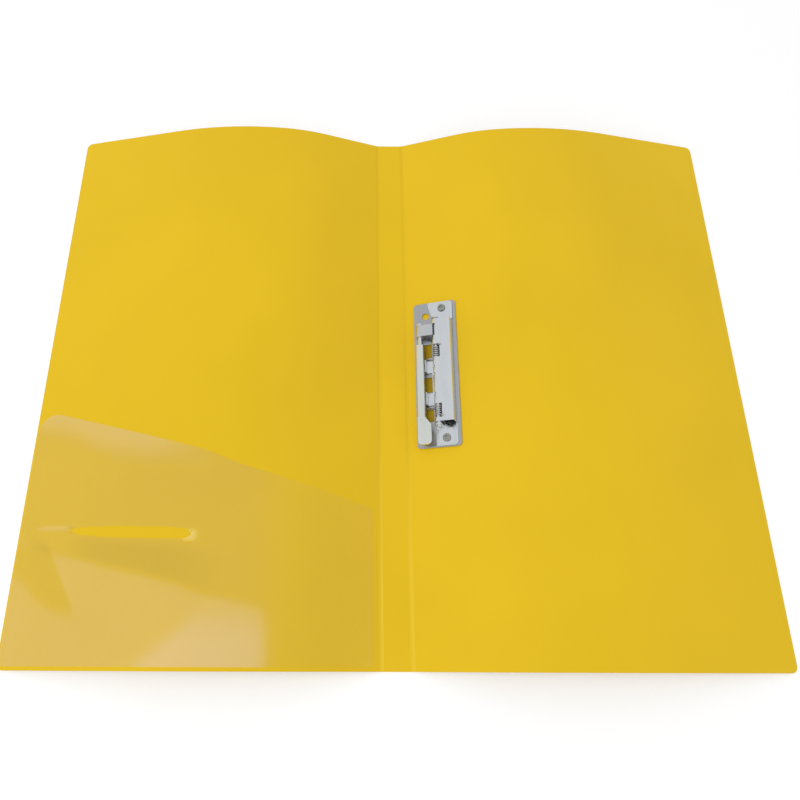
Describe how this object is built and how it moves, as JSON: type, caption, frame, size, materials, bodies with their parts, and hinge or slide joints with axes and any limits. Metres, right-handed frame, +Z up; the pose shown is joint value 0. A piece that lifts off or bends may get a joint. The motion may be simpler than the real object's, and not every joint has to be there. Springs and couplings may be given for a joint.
{
  "type": "clip file folder",
  "caption": "Open plastic file folder with a lever clip beside the spine and a clear slanted pocket on the front cover.",
  "frame": {"origin": "on the table under the middle of the spine, the middle of the bounding box's base", "axes": "+X across the open folder towards the back cover, +Y along the spine towards the top edge, +Z up"},
  "size_m": [0.4562, 0.37, 0.0222],
  "materials": {
    "sheet": "satin yellow plastic sheet",
    "film": "clear film",
    "plated": "bright plating",
    "spring": "drawn wire"
  },
  "bodies": {
    "back": {"back_cover": "sheet", "base_plate": "plated", "lever_pin": "plated", "jaw_pin": "plated", "upper_bracket": "plated", "lower_bracket": "plated", "upper_spring": "spring", "lower_spring": "spring", "upper_rivet": "plated", "lower_rivet": "plated"},
    "spine": {"spine_panel": "sheet"},
    "front": {"front_cover": "sheet", "pocket_film": "film"},
    "lever": {"lever": "plated"},
    "jaw": {"jaw_plate": "plated"},
    "push": {"push_plate": "plated"}
  },
  "joints": [
    {"name": "back_hinge", "type": "hinge", "parent": "back", "child": "spine", "pos_m": [0.009, 0, 0.0008], "axis": [0, 1, 0], "range_deg": [0, 71]},
    {"name": "front_hinge", "type": "hinge", "parent": "spine", "child": "front", "pos_m": [-0.009, 0, 0.0008], "axis": [0, 1, 0], "range_deg": [0, 71]},
    {"name": "lever_hinge", "type": "hinge", "parent": "back", "child": "lever", "pos_m": [0.01779, -0.0035, 0.0092], "axis": [0, -1, 0], "range_deg": [0, 85]},
    {"name": "jaw_hinge", "type": "hinge", "parent": "back", "child": "jaw", "pos_m": [0.02784, -0.0035, 0.01256], "axis": [0, -1, 0], "range_deg": [0, 35], "stiffness_Nm_per_rad": 0.05, "springref_deg": -28.65, "deforming": ["upper_spring", "lower_spring"]},
    {"name": "push_slide", "type": "slide", "parent": "back", "child": "push", "axis": [0.9483, 0, 0.3174], "range_m": [0, 0.0018]}
  ],
  "couplings": [
    {"joint": "jaw_hinge", "follows": "lever_hinge", "ratio": 0.41176},
    {"joint": "push_slide", "follows": "lever_hinge", "m_per_rad": 0.0012162}
  ]
}
